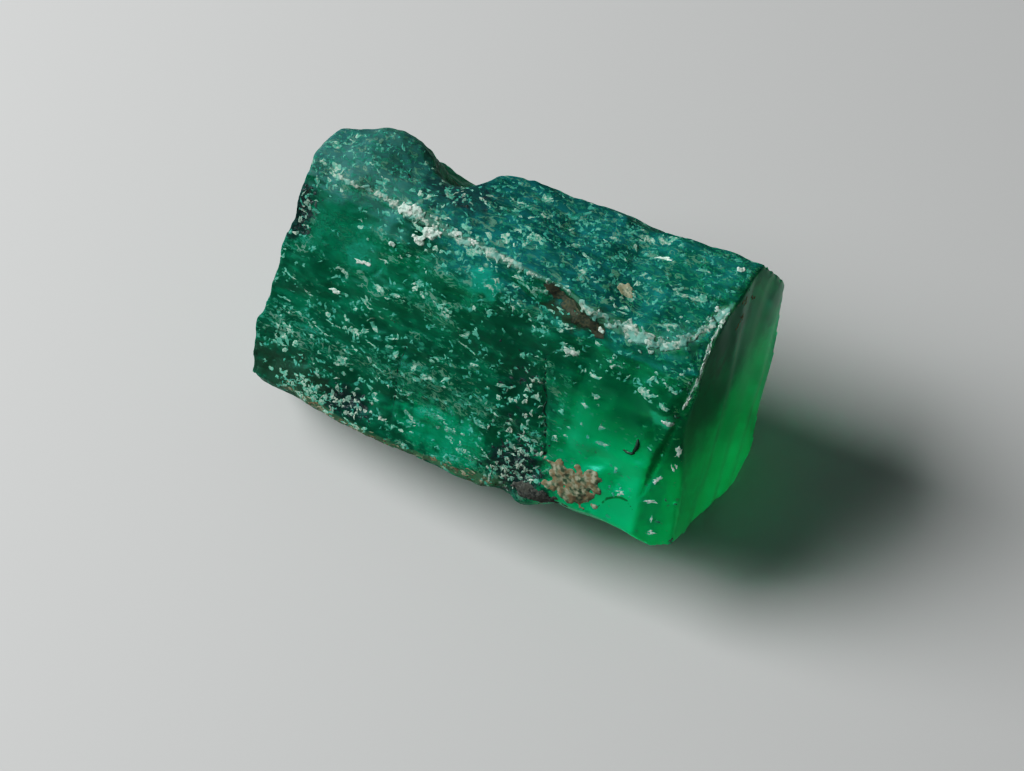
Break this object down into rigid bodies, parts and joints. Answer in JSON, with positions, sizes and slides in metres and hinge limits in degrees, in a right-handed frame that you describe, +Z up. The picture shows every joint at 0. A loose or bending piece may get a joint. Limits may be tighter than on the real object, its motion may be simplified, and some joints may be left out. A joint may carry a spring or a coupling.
{
  "type": "raw emerald crystal",
  "caption": "Rough green emerald crystal: a distorted six-sided prism with broken ends, lying on one prism face.",
  "frame": {"origin": "under the middle of the crystal, on the plane of the prism face that it rests on", "axes": "+X along the crystal's long axis towards its clean break, +Y to the back, +Z up"},
  "size_m": [0.0217, 0.0126, 0.014],
  "materials": {
    "emerald": "glassy green beryl, waxy on the prism faces"
  },
  "bodies": {
    "root": {"emerald_crystal": "emerald"}
  },
  "joints": []
}
